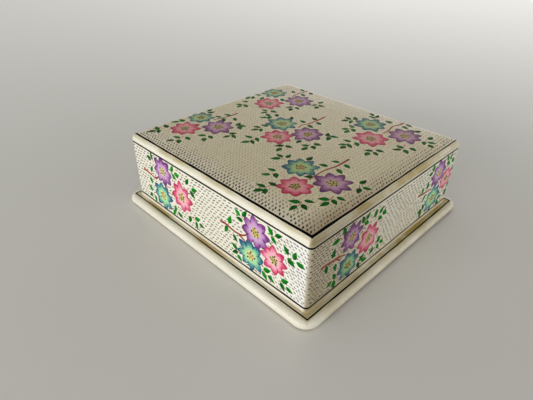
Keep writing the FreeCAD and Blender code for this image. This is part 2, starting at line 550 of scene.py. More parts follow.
def makePatch(points, quads, *layers):  # layers are tint, three arrays on the grid, and brush, two
    flat = [np.stack(np.broadcast_arrays(*layer), axis=-1).reshape(-1, len(layer)) for layer in layers]
    return points.reshape(-1, 3), quads, *flat


def joinPatches(patches):
    starts = np.cumsum([0] + [len(patch[0]) for patch in patches[:-1]])
    quads = np.concatenate([patch[1] + start for patch, start in zip(patches, starts)])
    points, tint, brush = (np.concatenate([patch[part] for patch in patches]) for part in (0, 2, 3))
    return points, quads, tint, brush


def addPiece(name, patches, paint, body):
    points, quads, tint, brush = joinPatches(patches)
    mesh = bpy.data.meshes.new(name)
    mesh.from_pydata(points * mm, [], quads)
    colours = np.concatenate([tint, np.ones((len(tint), 1))], axis=1).astype(np.float32)
    mesh.attributes.new("tint", "FLOAT_COLOR", "POINT").data.foreach_set("color", colours.ravel())
    corners = np.empty(len(mesh.loops), np.int32)
    mesh.loops.foreach_get("vertex_index", corners)
    mesh.uv_layers.new(name="brush").data.foreach_set("uv", brush[corners].astype(np.float32).ravel())
    mesh.polygons.foreach_set("use_smooth", np.ones(len(mesh.polygons), bool))
    mesh.materials.append(paint)
    work = bmesh.new()
    work.from_mesh(mesh)
    bmesh.ops.remove_doubles(work, verts=work.verts, dist=1e-8)  # closes poles
    work.to_mesh(mesh)
    work.free()
    piece = bpy.data.objects.new(name, mesh)
    bpy.context.collection.objects.link(piece)
    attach(piece, body)
    return piece


# Flower sprays: where each flower, leaf and stem is painted, in mm on its panel.
# A flower is x, y, radius; a leaf is the x and y of its middle and its heading in degrees.

lidSprays = [
    {
        "pink": (-38.5, -34.7, 9.0), "teal": (-23.7, -24.9, 9.4), "purple": (-24.1, -44.5, 9.8),
        "stems": [[(0, -36.1), (-6, -36.2), (-11, -36.1), (-15, -35.1), (-19.5, -34.6), (-29.5, -35.1)]],
        "stalks": [[(-37.5, -20.4), (-37.2, -18.8)], [(-45.7, -26.6), (-49.8, -26)],
                   [(-45.4, -44.6), (-49.2, -46)], [(-32.2, -51.4), (-37.2, -52.4)],
                   [(-16.6, -53.8), (-19.3, -55.8)], [(-12.3, -37), (-12.9, -38.8)]],
        "leaves": [(-40.5, -18, 142), (-35.4, -16.8, 103), (-37.8, -22.2, 225), (-48.9, -23.4, 92),
                   (-52.7, -25.4, 160), (-51, -28.3, 218), (-44.3, -26.1, 85), (-47.7, -42.4, 125),
                   (-51.7, -45.3, 180), (-47.8, -48.2, 250), (-43, -47, -58), (-37.4, -49.8, 130),
                   (-40.1, -52.6, 180), (-35.8, -54.6, 238), (-31.7, -55.1, -92), (-13.2, -53.5, -8),
                   (-21, -56.5, 205), (-16.7, -58.1, -65), (-7.1, -32.9, 112), (-6.7, -39.9, 245),
                   (-14.2, -31, 100), (-13.3, -40.3, 240), (-13.7, -22.2, 5), (-27.7, -33.3, 132)],
    },
    {
        "pink": (-7.3, 6.2, 9.3), "teal": (7.1, 16.5, 9.7), "purple": (6.9, -3, 9.7),
        "stems": [[(33.3, 5.9), (28, 5.5), (23, 5.5), (18, 6.1), (13.7, 7.3), (9.5, 6.3)]],
        "stalks": [[(8.8, 27.5), (9.6, 30)], [(-4.4, 20.2), (-7.6, 21.8)], [(-18, 12.6), (-22.4, 13.4)],
                   [(-12.2, -2.6), (-15.4, -4.2)], [(-23.6, -14.6), (-23.4, -11.8)],
                   [(-0.8, -11.6), (-5.4, -13)], [(15.8, -10.8), (12.8, -13.2)]],
        "leaves": [(26.2, 8.3, 65), (22.8, 2, 240), (18.2, 10.5, 82), (16.1, 2.7, 250), (17.4, 18.4, 38),
                   (-3.6, -5.7, 192), (5.6, 30.6, 140), (10.4, 31.6, 70), (8, 27.8, 215), (13.7, 27, 222),
                   (-10.2, 21.5, 160), (-6.5, 23.5, 115), (-8, 18.5, 222), (-2.1, 21.8, 105),
                   (-18.8, 17.1, 108), (-24.5, 13.7, 158), (-21.7, 10.7, 243), (-17.8, 11.2, 242),
                   (-14.6, -1.8, 140), (-18, -4.9, 197), (-11.7, -6.2, -85), (-26, -10.3, 140),
                   (-22.3, -9.6, 78), (-19.5, -13.2, 18), (-7.7, -13.3, 188), (-4.5, -10.9, 128),
                   (-3.1, -15.7, 240), (1.2, -14.9, -65), (14.7, -10.9, 42), (10.8, -14.4, 212),
                   (15.1, -15.1, -62)],
    },
    {
        "pink": (27.7, -30.1, 10.0), "teal": (43.6, -19.2, 10.0), "purple": (44.3, -41.2, 10.0),
        "stems": [[(60, -31.6), (55.5, -31.2), (50.5, -29.8), (44, -31), (38, -30.8)]],
        "stalks": [[(32.2, -14.6), (28, -14.6)], [(42.6, -8.6), (40.4, -7)],
                   [(52.6, -16.4), (55.4, -14.4)], [(14.8, -25), (10.6, -25.6)],
                   [(17.8, -38.2), (14, -39.8)], [(35, -46.9), (29.2, -48.7)],
                   [(48.4, -51.4), (46.2, -53.2)]],
        "leaves": [(27.7, -12.7, 145), (25.5, -15.7, 185), (29.8, -17.3, 232), (33.5, -13.2, 80),
                   (37.4, -5.4, 140), (41.6, -4.8, 75), (38.2, -9.2, 195), (44.6, -8, 55),
                   (53.5, -13.7, 85), (57.1, -11.2, 60), (56.8, -15.4, 10), (10.7, -23.7, 135),
                   (8.1, -26, 182), (12.1, -27.5, 245), (16.2, -22.7, 95), (16.5, -29.1, 228),
                   (14.8, -37.2, 132), (11.1, -39, 185), (14.5, -42, 235), (18.8, -41.8, -78),
                   (26.5, -46.7, 140), (30.4, -46.1, 80), (27.8, -51.5, 235), (32.9, -52.7, 242),
                   (43.6, -53, 200), (51.9, -52.4, -2), (47.2, -55.7, -62), (42.9, -57.4, 238),
                   (54.5, -24.5, 88), (54.3, -35.7, 250), (58.6, -35.6, 258), (54.8, -43.2, -35)],
    },
    {
        "pink": (-37.3, 49.5, 9.2), "teal": (-21.3, 55.6, 8.4), "purple": (-22.6, 38.2, 9.8),
        "stems": [[(-1, 45.7), (-6, 45.6), (-11, 46.1), (-15, 47.2), (-18.5, 47.9)]],
        "stalks": [[(-46.4, 59.6), (-50.6, 58)], [(-43.7, 41.5), (-49.4, 40.3)],
                   [(-33.8, 34.8), (-36.4, 32.8)], [(-22.6, 26.8), (-25.6, 24.9)],
                   [(-14.6, 32.2), (-12.4, 30.8)], [(-34.4, 59.2), (-33.6, 60.4)]],
        "leaves": [(-53.1, 58.7, 155), (-48.5, 60.4, 80), (-50.2, 55.9, 232), (-43.2, 59.3, 75),
                   (-36.2, 60.8, 150), (-32, 59.8, 92), (-52.2, 42.2, 152), (-47.3, 43.3, 110),
                   (-49.6, 37.9, 235), (-43.8, 37.6, -95), (-36.2, 35.9, 138), (-38.5, 30.6, 225),
                   (-34, 30.5, -97), (-27.5, 25.5, 178), (-24.4, 22.6, 243), (-22.1, 25.8, -38),
                   (-11.6, 33.2, 20), (-14.5, 28.8, 242), (-11.5, 29.7, -70), (-7.3, 48, 112),
                   (-8.5, 39.7, 235), (-13.2, 49.7, 115), (-14, 43.5, 240), (-11.8, 57.6, -20),
                   (-10.4, 60.9, 15)],
    },
    {
        "pink": (24, 44.3, 9.9), "teal": (40.4, 55.1, 8.9), "purple": (41.2, 33.8, 9.8),
        "stems": [[(60, 43), (55.5, 42.6), (50.7, 43.6), (46, 42.8), (43.5, 41)]],
        "stalks": [[(13, 54.4), (8.8, 53.6)], [(24.6, 56.4), (22.8, 60)], [(16.6, 37), (12.4, 35.6)],
                   [(32.2, 30.8), (28.6, 29)], [(44.6, 23), (45.4, 20.2)]],
        "leaves": [(6.7, 53.3, 185), (9, 56.1, 120), (10.5, 51, 252), (15.2, 57.2, 108), (24, 59, 40),
                   (21.4, 60.9, 20), (29.8, 60.2, 100), (27.5, 53.8, 20), (34.9, 42.6, 240),
                   (11, 35.6, 165), (14.1, 38.4, 105), (16.6, 32.5, -85), (28.7, 31.2, 150),
                   (26.6, 27.8, 218), (31.2, 26.2, -105), (43, 22.7, 170), (40.8, 18.8, 207),
                   (45.3, 18.3, -85), (49.8, 22.5, -5), (51.4, 48, 65), (51.5, 39.2, 250),
                   (58.4, 46.2, 75), (57.6, 37.5, 255)],
    },
]

sideSprays = [
    {
        "pink": (-20.4, -17.2, 9.3), "teal": (-38.6, -24.6, 9.0), "purple": (-36.2, -8.6, 8.9),
        "stems": [[(-55.9, -14.5), (-50, -15.3), (-46, -16), (-43, -16.2)],
                  [(-45, -16), (-43, -15.2), (-41.5, -13.9)]],
        "stalks": [[(-48.3, -15.2), (-47.8, -13.2)], [(-43.8, -6), (-46, -4.6)],
                   [(-28.8, -6.8), (-26.6, -5)], [(-15, -9.8), (-12.6, -8.2)],
                   [(-46.6, -26.2), (-49.2, -27.8)], [(-28.6, -28), (-26.8, -29.6)],
                   [(-13.6, -25.6), (-9.8, -27.2)], [(-34.6, -16.8), (-30.2, -15.9)]],
        "leaves": [(-45.8, -2.7, 105), (-48.7, -5, 172), (-26.9, -3, 62), (-23, -5, 3),
                   (-25.6, -7.4, -30), (-14.4, -5.1, 62), (-8.8, -7.7, 22), (-10.6, -11.1, -38),
                   (-47.2, -11.2, 65), (-49.3, -19.5, -65), (-51.4, -25, 140), (-52, -30, 215),
                   (-47.3, -30.8, -88), (-27.7, -27.6, 75), (-29.3, -31, 245), (-23.7, -30.2, -22),
                   (-14.8, -28.2, 245), (-8.2, -24.7, 28), (-9.3, -29.4, -88), (-4.9, -27.3, -2)],
    },
    {
        "pink": (45.6, -17.8, 8.3), "teal": (31.1, -24.3, 9.2), "purple": (34.2, -9.6, 9.1),
        "stems": [[(10.2, -15.6), (14.2, -15.3), (18.7, -16.1), (23.3, -16.2), (26.7, -15.1),
                   (28.8, -13.3)],
                  [(23.6, -16.4), (26.2, -17.4), (28.8, -18.9)]],
        "stalks": [[(16, -15.4), (16.6, -13.2)], [(27.4, -6.6), (25, -5)], [(43.4, -6.2), (46, -4.8)],
                   [(53, -12.2), (55.6, -10.4)], [(19.4, -17.2), (19.8, -18.4)],
                   [(24, -25.6), (22, -27.4)], [(38.4, -27.6), (40.6, -28.6)],
                   [(48.6, -27.8), (50.6, -26.4)]],
        "leaves": [(22.7, -4.3, 148), (27.5, -2.9, 48), (24, -7.5, 182), (43, -3.3, 120),
                   (47.9, -3.5, 35), (45.4, -7.3, -38), (52.2, -8, 118), (57, -8.3, 72),
                   (60.4, -11.4, -5), (55.4, -13, -40), (17.4, -11.2, 65), (14.5, -18.2, 250),
                   (20.9, -20.1, -55), (20, -25.1, 155), (20.4, -28.5, 215), (23.7, -30.5, -42),
                   (41.7, -26.2, 30), (40.3, -30.4, -48), (44.4, -29.8, -22), (52.4, -25.4, 32),
                   (51.2, -29.5, -52), (55.2, -28.8, -20)],
    },
]

frontSprays = [
    {
        "pink": (-21, -17.5, 8.7), "teal": (-35.2, -24.8, 8.3), "purple": (-35, -9, 8.1),
        "stems": [[(-55.5, -14.7), (-51, -14.7), (-47, -15.2), (-45, -15.8), (-43.5, -16.8),
                   (-41.8, -18.2)],
                  [(-46, -15.1), (-42, -15.9), (-38, -17.2)]],
        "stalks": [[(-42.2, -6.6), (-44.8, -4.2)], [(-28.4, -7.2), (-25.8, -5.2)],
                   [(-18.6, -9), (-14.4, -7.4)], [(-42.8, -27), (-45.6, -28.2)],
                   [(-27.6, -26.8), (-25.2, -28.6)], [(-14.2, -25), (-11.2, -26.4)],
                   [(-33, -16), (-29.4, -17.9)]],
        "leaves": [(-41.5, -2.5, 110), (-46.8, -5.5, 178), (-47.3, -11, 82), (-27.9, -3.7, 112),
                   (-24.1, -3.5, 45), (-24.6, -7, -35), (-17.9, -5.1, 97), (-13.2, -5.5, 50),
                   (-9.9, -8.6, -28), (-13.2, -10, -38), (-51.2, -17.8, -75), (-44.9, -20.4, -82),
                   (-45, -25.3, 115), (-48.2, -28.3, 208), (-44.5, -30.6, -75), (-23.9, -27.1, 40),
                   (-26, -30.8, -60), (-21.5, -30, -30), (-15.8, -27.6, 80), (-10.7, -23.7, 60),
                   (-10.5, -28.5, -58), (-7.5, -27, -25)],
    },
    {
        "pink": (54.3, -16.6, 7.4), "teal": (41.7, -24.3, 8.8), "purple": (42.5, -8.9, 8.4),
        "stems": [[(23, -15.1), (29, -16), (35.4, -16.5), (38.5, -17)]],
        "stalks": [[(37.2, -6), (35, -4.2)], [(50.6, -6.4), (53, -4.4)], [(28.6, -16), (28, -14.8)],
                   [(34.4, -27.4), (32, -28.8)], [(48.6, -28), (50.8, -29.4)]],
        "leaves": [(34.6, -2.6, 112), (32.6, -5.7, 182), (32.3, -12.3, 105), (50.5, -2.7, 130),
                   (54.4, -2.7, 55), (53.1, -6.7, -35), (58.3, -6.8, -45), (27.3, -13.2, 118),
                   (31, -19.9, 240), (32.6, -25.8, 118), (29.8, -27.9, 172), (31.3, -30.6, -80),
                   (52.1, -27.9, 10), (50.9, -31, -45), (58.6, -27.1, 75), (60.6, -22.4, 60),
                   (61, -12.1, 20)],
    },
]
layout = {"lid": lidSprays, "left": sideSprays, "right": sideSprays, "front": frontSprays,
          "back": frontSprays}
bodyPanels = {"lid": ["lid"], "box": ["front", "right", "back", "left"]}


# Flowers

flowerShape = {  # notch and heart are shares of the flower's radius
    "petals": 8, "perPetal": 12, "notch": 0.68, "point": 1.2, "size": 1.02, "heart": 0.3,
    "turn": (-4, 10), "lean": 0.09, "tips": (0.92, 1.06), "notches": (0.9, 1.1),  # degrees, radians, shares
    "rings": [0, 0.2, 0.4, 0.56, 0.7, 0.8, 0.88, 0.95, 1.0], "deepening": (0.55, 0.45, 1.5), "brushRun": 0.35,
    "lift": {"teal": 0.045, "pink": 0.052, "purple": 0.06},  # mm
}
heartShape = {
    "points": 28, "rings": [0, 0.4, 0.75, 0.93, 1.0], "lift": 0.02, "dip": 0.012,
    "waves": [(3, 0.06), (5, 0.05), (8, 0.04)],  # count round the disc, share of its radius
}
stamenShape = {
    "count": 9, "spread": 0.92, "tilt": 0.5, "length": (1.0, 1.7), "width": (0.8, 1.2),
    "half": [0.18, 0.4, 0.4, 0.16], "seat": 0.018, "lift": 0.02, "goldenAngle": 2.4, "first": 0.6,
}


def rise(t, lift, power, dip=edgeDip):  # paint is lift high in its middle, t = 0, and -dip at its edge, t = 1
    return lift * (1 - t ** power) - dip * t ** power


def ahead(angle):
    return np.stack([np.cos(angle), np.sin(angle)], axis=-1)


def petalEdge(radius):
    # r(p) = notch + (tip - notch) * (1 - |p|^point), with p from -1 to 1 across each petal
    count = flowerShape["petals"]
    first = np.radians(dice.uniform(*flowerShape["turn"]))
    lean = dice.uniform(-flowerShape["lean"], flowerShape["lean"], count)
    tipAngle = np.arange(count) * 2 * np.pi / count + first + lean
    tip = radius * dice.uniform(*flowerShape["tips"], count)
    notchAngle = (tipAngle + np.append(tipAngle[1:], tipAngle[0] + 2 * np.pi)) / 2  # after each tip
    notch = radius * flowerShape["notch"] * dice.uniform(*flowerShape["notches"], count)
    p = np.linspace(-1, 1, flowerShape["perPetal"] + 1)[:-1][None, :]
    before = np.append(notchAngle[-1] - 2 * np.pi, notchAngle[:-1])[:, None]
    start = np.where(p < 0, before, notchAngle[:, None])
    low = np.where(p < 0, np.roll(notch, 1)[:, None], notch[:, None])
    angle = tipAngle[:, None] + (start - tipAngle[:, None]) * np.abs(p)
    edge = low + (tip[:, None] - low) * (1 - np.abs(p) ** flowerShape["point"])
    return angle.ravel(), edge.ravel(), np.broadcast_to(np.abs(p), angle.shape).ravel()


def discPatch(panel, flower, angle, reach, height, tint, brush):  # rings of points round the flower's middle
    x, y, radius = flower
    points = onPanel(panel, x + reach * np.cos(angle), y + reach * np.sin(angle), height + 0 * reach)
    return makePatch(points, gridQuads(1, *reach.shape, True), tint, brush)


def petalPatch(panel, flower, edge, lift):
    # rings t = 0 to 1 go from a circle at the heart to the petals' edge
    x, y, radius = flower
    angle, outline, across = edge
    t = np.array(flowerShape["rings"])[:, None]
    reach = t * (radius * flowerShape["notch"] * (1 - t ** 3) + outline * t ** 3)
    shade = np.repeat(dice.uniform(0, 1, flowerShape["petals"]), flowerShape["perPetal"])
    byReach, byRing, power = flowerShape["deepening"]
    depth = byReach * reach / radius + byRing * t ** power  # of the colour
    return discPatch(panel, flower, angle, reach, rise(t, lift, 10), (depth, across, shade),
                     (angle * radius, reach * flowerShape["brushRun"] + x))


def heartPatch(panel, flower, lift):  # uneven yellow disc: radius * (1 + three small waves)
    angle = np.linspace(0, 2 * np.pi, heartShape["points"], endpoint=False)
    phase = dice.uniform(0, 6, len(heartShape["waves"]))
    waves = sum(size * np.sin(count * angle + start)
                for (count, size), start in zip(heartShape["waves"], phase))
    t = np.array(heartShape["rings"])[:, None]
    reach = t * flower[2] * flowerShape["heart"] * (1 + waves)
    height = lift + rise(t, heartShape["lift"], 6, heartShape["dip"])
    return discPatch(panel, flower, angle, reach, height, (t + 0 * reach, t, dice.uniform(0, 1)),
                     (reach * np.cos(angle), reach * np.sin(angle)))


# Strokes: leaves, stems, stamens and dashes are a profile carried along a path

strokeBrush = {"run": 3, "start": 9}  # so that no two strokes have the same marks


def strokePatch(panel, path, half, lift, cols, shade, ground=0.0):
    # path is strokes x steps x 2; the profile across is lift * (1 - a^4), its two edges just under the ground
    slope = np.gradient(path, axis=1)
    slope /= np.linalg.norm(slope, axis=-1, keepdims=True)
    normal = np.stack([-slope[..., 1], slope[..., 0]], axis=-1)
    across = np.linspace(-1, 1, cols)
    spot = path[:, :, None] + normal[:, :, None] * (half[..., None] * across)[..., None]
    height = ground + rise(across, lift, 4) + 0 * spot[..., 0]
    points = onPanel(panel, spot[..., 0], spot[..., 1], height)
    count, steps = path.shape[:2]
    along = np.linspace(0, 1, steps)[None, :, None] + 0 * height
    shade = shade[:, None, None]
    return makePatch(points, gridQuads(count, steps, cols), (along, (across + 1) / 2, shade),
                     (across, strokeBrush["run"] * along + strokeBrush["start"] * shade))


def straightPath(spot, turn, length, steps):  # strokes through their middles
    s = np.linspace(-0.5, 0.5, steps)
    return spot[:, None] + (length[:, None] * s)[..., None] * ahead(turn)[:, None]


def smoothPath(knots, steps):  # Catmull-Rom curve through the given points
    knots = np.array(knots, float)
    ends = np.concatenate([2 * knots[:1] - knots[1:2], knots, 2 * knots[-1:] - knots[-2:-1]])
    where = np.linspace(0, len(knots) - 1, steps)
    piece = np.minimum(where.astype(int), len(knots) - 2)
    t = (where - piece)[:, None]
    a, b, c, d = (ends[piece + shift] for shift in range(4))
    square = 2 * a - 5 * b + 4 * c - d
    cube = 3 * b - a - 3 * c + d
    return 0.5 * (2 * b + (c - a) * t + square * t ** 2 + cube * t ** 3)


def stamenPatch(panel, flower, lift):  # short dark dabs scattered over the heart, pointing outwards
    x, y, radius = flower
    count = stamenShape["count"]
    turn = np.arange(count) * stamenShape["goldenAngle"] + dice.uniform(0, 6)
    share = np.sqrt((np.arange(count) + stamenShape["first"]) / count)
    far = radius * flowerShape["heart"] * share * stamenShape["spread"]
    spot = np.array([x, y]) + far[:, None] * ahead(turn)
    tilt = turn + dice.normal(0, stamenShape["tilt"], count)
    path = straightPath(spot, tilt, dice.uniform(*stamenShape["length"], count), len(stamenShape["half"]))
    half = np.array(stamenShape["half"]) * dice.uniform(*stamenShape["width"], (count, 1))
    return strokePatch(panel, path, half, stamenShape["lift"], 3, dice.uniform(0, 1, count),
                       lift + stamenShape["seat"])


leafShape = {
    "length": 4.8, "halfWidth": 1.44, "lift": 0.04, "steps": 8, "cols": 5, "wallSize": 1.02, "lidSize": 1.06,
    "lengths": (0.9, 1.12), "widths": (0.85, 1.1), "bend": 0.14, "bendBack": 0.3, "belly": 0.72,
    "blunt": 0.03,
}


def leafStrokes(panel, leaves):
    # half width is w * sin(pi * s^belly), s from base to tip, along a midrib bent sideways by s^2
    x, y, heading = np.array(leaves, float).T
    size = leafShape["lidSize"] if panel == "lid" else leafShape["wallSize"]
    length = leafShape["length"] * size * dice.uniform(*leafShape["lengths"], len(x))
    turn = np.radians(heading)
    s = np.linspace(0.0, 1, leafShape["steps"])[:, None]
    bend = dice.uniform(-leafShape["bend"], leafShape["bend"], len(x))[:, None, None]
    sideways = bend * (s ** 2 - leafShape["bendBack"]) * ahead(turn + np.pi / 2)[:, None]
    rib = (s - 0.5) * ahead(turn)[:, None] + sideways
    path = np.stack([x, y], axis=-1)[:, None] + length[:, None, None] * rib
    swell = np.maximum(np.sin(np.pi * s[:, 0] ** leafShape["belly"]), leafShape["blunt"])
    half = leafShape["halfWidth"] * size * swell * dice.uniform(*leafShape["widths"], (len(x), 1))
    return path, half


# Dashes: short slanted strokes in rows all over the ground

dashShape = {  # mm and degrees; at paleness 0 a dash has the darker tone, at 1 the paler
    "lid": {"step": 2.02, "row": 2.06, "shift": 0.0, "length": 1.85, "half": 0.52, "slant": 33, "turn": 0,
            "margin": 1.1, "wave": 0.3, "jitter": 0.1},
    "side": {"step": 2.65, "row": 1.92, "shift": 0.5, "length": 1.8, "half": 0.4, "slant": 12, "turn": -36,
             "margin": 1.1, "wave": 0.4, "jitter": 0.15, "paleness": 0.25},
    "fine": {"step": 2.0, "row": 1.6, "shift": 0.5, "length": 1.4, "half": 0.37, "slant": 4, "turn": -24,
             "margin": 0.9, "wave": 0.5, "jitter": 0.18, "paleness": 0.6},
    "wavy": {"step": 2.65, "row": 1.9, "shift": 0.5, "length": 1.6, "half": 0.43, "slant": 8, "turn": 0,
             "margin": 0.9, "wave": 0.8, "jitter": 0.2, "paleness": -0.4},
    "small": {"step": 1.9, "row": 1.55, "shift": 0.5, "length": 1.3, "half": 0.38, "slant": 6, "turn": 0,
              "margin": 0.9, "wave": 0.5, "jitter": 0.18, "paleness": -0.5},
}
dashKinds = {"lid": ["lid"], "front": ["wavy", "small"], "right": ["side", "fine"], "back": ["wavy", "small"],
             "left": ["side", "fine"]}
dashRows = {  # what all kinds share
    "lift": 0.022, "cols": 3, "profile": [0.4, 0.9, 1, 0.9, 0.35], "lengths": (0.82, 1.15),
    "widths": (0.8, 1.15), "slantScatter": 8, "paleScatter": 0.25, "turnOver": (30, 50), "edge": 0.8,
    "spare": 8, "lastRow": 0.2, "waveOver": (3, 15), "waveU": (6.1, 0.6, 9.7), "waveV": (8.3, 0.7, 7.9),
    "skew": 1.4,
    "fineOver": (34, 46), "smallOver": (-24, -40),  # u over which one kind gives way to the other
    "clear": {"flower": 0.4, "leaf": 1.2, "stem": 0.85},
}
lidFade = {"over": 13, "frontLag": 2.5, "darkest": -0.3, "palest": 1.25}  # strongest on the left


def ramp(value, start, end):
    return np.clip((value - start) / (end - start), 0, 1)


def awayFromStrokes(spot, starts, ends, clear):  # farther than clear from every straight piece
    run = ends - starts
    share = np.einsum("nsk,sk->ns", spot[:, None] - starts[None], run) / np.maximum((run ** 2).sum(-1), 1e-9)
    near = starts[None] + np.clip(share, 0, 1)[..., None] * run[None]
    return (np.linalg.norm(spot[:, None] - near, axis=-1) > clear).all(axis=1)


def dashSpots(shape, low, high, throws):
    # rows at equal steps, on the walls every second row shifted by half a step; slow sine waves bend them
    lastRow = high[1] - shape["margin"] + dashRows["lastRow"]
    rows = np.arange(low[1] + shape["margin"], lastRow, shape["row"])
    cols = np.arange(low[0] + shape["margin"], high[0] + dashRows["spare"], shape["step"])
    u, v = np.meshgrid(cols, rows)
    u = u + shape["shift"] * shape["step"] * (np.arange(len(rows)) % 2)[:, None]
    inset = np.minimum.reduce([u - low[0], high[0] - u, v - low[1], high[1] - v])
    ease = ramp(inset, *dashRows["waveOver"]) * shape["wave"]
    phase = throws.uniform(0, 6.28, 4)
    first, share, second = dashRows["waveU"]
    waveU = np.sin(v / first + phase[0]) + share * np.sin((u + v) / second + phase[1])
    first, share, second = dashRows["waveV"]
    waveV = np.sin(u / first + phase[2]) + share * np.sin((u - dashRows["skew"] * v) / second + phase[3])
    jitter = throws.normal(0, shape["jitter"], (2, *u.shape))
    return np.stack([u + ease * waveU + jitter[0], v + ease * waveV + jitter[1]], axis=-1).reshape(-1, 2)


def clearOfPaint(spot, flowers, leafPaths, stemPaths):
    clear = dashRows["clear"]
    keep = awayFromStrokes(spot, leafPaths[:, 0], leafPaths[:, -1], clear["leaf"])
    for flower, (angle, outline, across) in flowers:
        gap = spot - np.array(flower[:2])
        edge = np.interp(np.arctan2(gap[:, 1], gap[:, 0]), angle, outline, period=2 * np.pi)
        keep &= np.hypot(gap[:, 0], gap[:, 1]) > edge + clear["flower"]
    for path in stemPaths:
        keep &= awayFromStrokes(spot, path[:-1], path[1:], clear["stem"])
    return keep


def dashStrokes(panel, kind, flowers, leafPaths, stemPaths):
    shape = dashShape[kind]
    throws = endDice if kind == "small" else dice
    low, high = (np.array(corner) for corner in paintedArea[panel])
    spot = dashSpots(shape, low, high, throws)
    slant = shape["slant"] + shape["turn"] * ramp(spot[:, 0], *dashRows["turnOver"])
    slant = slant + throws.normal(0, dashRows["slantScatter"], len(spot))
    edge = dashRows["edge"] * shape["margin"]
    keep = ((spot > low + edge) & (spot < high - edge)).all(axis=1)
    keep &= clearOfPaint(spot, flowers, leafPaths, stemPaths)
    if "fine" in dashKinds[panel]:
        late = ramp(spot[:, 0], *dashRows["fineOver"])
        keep &= throws.uniform(0, 1, len(spot)) < (late if kind == "fine" else 1 - late)
    spot = spot[keep]
    length = shape["length"] * throws.uniform(*dashRows["lengths"], len(spot))
    path = straightPath(spot, np.radians(slant[keep]), length, len(dashRows["profile"]))
    half = shape["half"] * np.array(dashRows["profile"]) * throws.uniform(*dashRows["widths"], (len(spot), 1))
    border = np.minimum(spot[:, 0] - low[0], spot[:, 1] - low[1] + lidFade["frontLag"])
    onLid = lidFade["darkest"] + (lidFade["palest"] - lidFade["darkest"]) * ramp(border, 0, lidFade["over"])
    paleness = onLid if panel == "lid" else shape["paleness"]
    paleness = paleness + throws.uniform(-dashRows["paleScatter"], dashRows["paleScatter"], len(spot))
    if "small" in dashKinds[panel]:
        late = endDice.uniform(0, 1, len(spot)) < ramp(spot[:, 0], *dashRows["smallOver"])
        stay = late == (kind == "small")
        path, half, paleness = path[stay], half[stay], paleness[stay]
    return path, half, paleness


# Painting the panels

stemSizes = {"profile": 0.44 + 0.36 * np.linspace(1, 0, 26) ** 1.3, "cols": 5, "lift": 0.034}  # half widths
stalkSizes = {"profile": 0.3 * np.array([0.9, 1, 1, 0.95, 0.8, 0.5]), "cols": 3, "lift": 0.03}
areaEdges = {"lid": 2.8, "wallEnd": 0.3, "wallTop": -0.8, "wallFoot": -32.2}


def wallArea(half):
    reach = half - areaEdges["wallEnd"]
    return (-reach, areaEdges["wallFoot"]), (reach, areaEdges["wallTop"])


lidReach = (halfWidth - areaEdges["lid"], halfDepth - areaEdges["lid"])
paintedArea = {"lid": ((-lidReach[0], -lidReach[1]), lidReach), "front": wallArea(halfWidth),
               "right": wallArea(halfDepth), "back": wallArea(halfWidth), "left": wallArea(halfDepth)}
pieceNames = {"pink": "pink_flowers", "teal": "teal_flowers", "purple": "purple_flowers",
              "heart": "flower_hearts", "stamen": "stamens", "leaf": "leaves", "stem": "stems",
              "stalk": "leaf_stalks", "dash": "ground_dashes"}


def curvedStrokes(knotLists, sizes):
    path = np.array([smoothPath(knots, len(sizes["profile"])) for knots in knotLists])
    return path, np.tile(sizes["profile"], (len(path), 1))


def paintPanel(panel):
    patches = {key: [] for key in pieceNames}
    flowers, leafPaths, stemPaths = [], [], []
    for spray in layout[panel]:
        for paint, lift in flowerShape["lift"].items():
            x, y, radius = spray[paint]
            flower = x, y, radius * flowerShape["size"]
            edge = petalEdge(flower[2])
            flowers.append((flower, edge))
            patches[paint].append(petalPatch(panel, flower, edge, lift))
            patches["heart"].append(heartPatch(panel, flower, lift))
            patches["stamen"].append(stamenPatch(panel, flower, lift))
        leaves = leafStrokes(panel, spray["leaves"])
        leafPaths.append(leaves[0])
        stems = curvedStrokes(spray["stems"], stemSizes)
        stalks = curvedStrokes(spray["stalks"], stalkSizes)
        stemPaths += [*stems[0], *stalks[0]]
        for key, (path, half), sizes in (("leaf", leaves, leafShape), ("stem", stems, stemSizes),
                                         ("stalk", stalks, stalkSizes)):
            shade = dice.uniform(0, 1, len(path))
            patches[key].append(strokePatch(panel, path, half, sizes["lift"], sizes["cols"], shade))
    for kind in dashKinds[panel]:
        path, half, paleness = dashStrokes(panel, kind, flowers, np.concatenate(leafPaths), stemPaths)
        patches["dash"].append(strokePatch(panel, path, half, dashRows["lift"], dashRows["cols"], paleness))
    return patches


for body, names in bodyPanels.items():
    painted = [paintPanel(name) for name in names]
    for key, title in pieceNames.items():
        patches = [patch for one in painted for patch in one[key]]
        addPiece(body + "_" + title, patches, paints[body][key], body)
    print(body, "painted:", len(painted), "panels")


# Lines

lineSizes = {
    "lidInsets": {"left": 2.15, "front": 2.1, "right": 1.2, "back": 1.2}, "lidHalf": 0.54, "lidTaper": 0.42,
    "seamDrop": 0.5, "seamHalf": 0.56, "footDrop": 33.0, "footHalf": 0.58,
    "baseGaps": {"left": 2.0, "front": 2.5, "right": 1.9, "back": 1.9}, "baseHalf": 0.43,
    "lift": 0.03, "lidLift": 0.05, "wobble": 0.07, "flatSwell": 0.12, "wallSwell": 0.1, "shadeSwell": 0.3,
    "waves": (3, 7, 13, 24, 41), "waveScale": 2.2, "perSide": 70, "perSharpCorner": 2, "perRoundCorner": 9,
    "sharpCorner": 0.05, "cornerReach": 1.2, "belowSeam": 0.01, "acrossShare": 0.3, "shadeShare": 0.6,
    "brush": (2, 40),  # across and along
}
profileAcross = np.array([-1, -0.6, 0, 0.6, 1])[:, None]


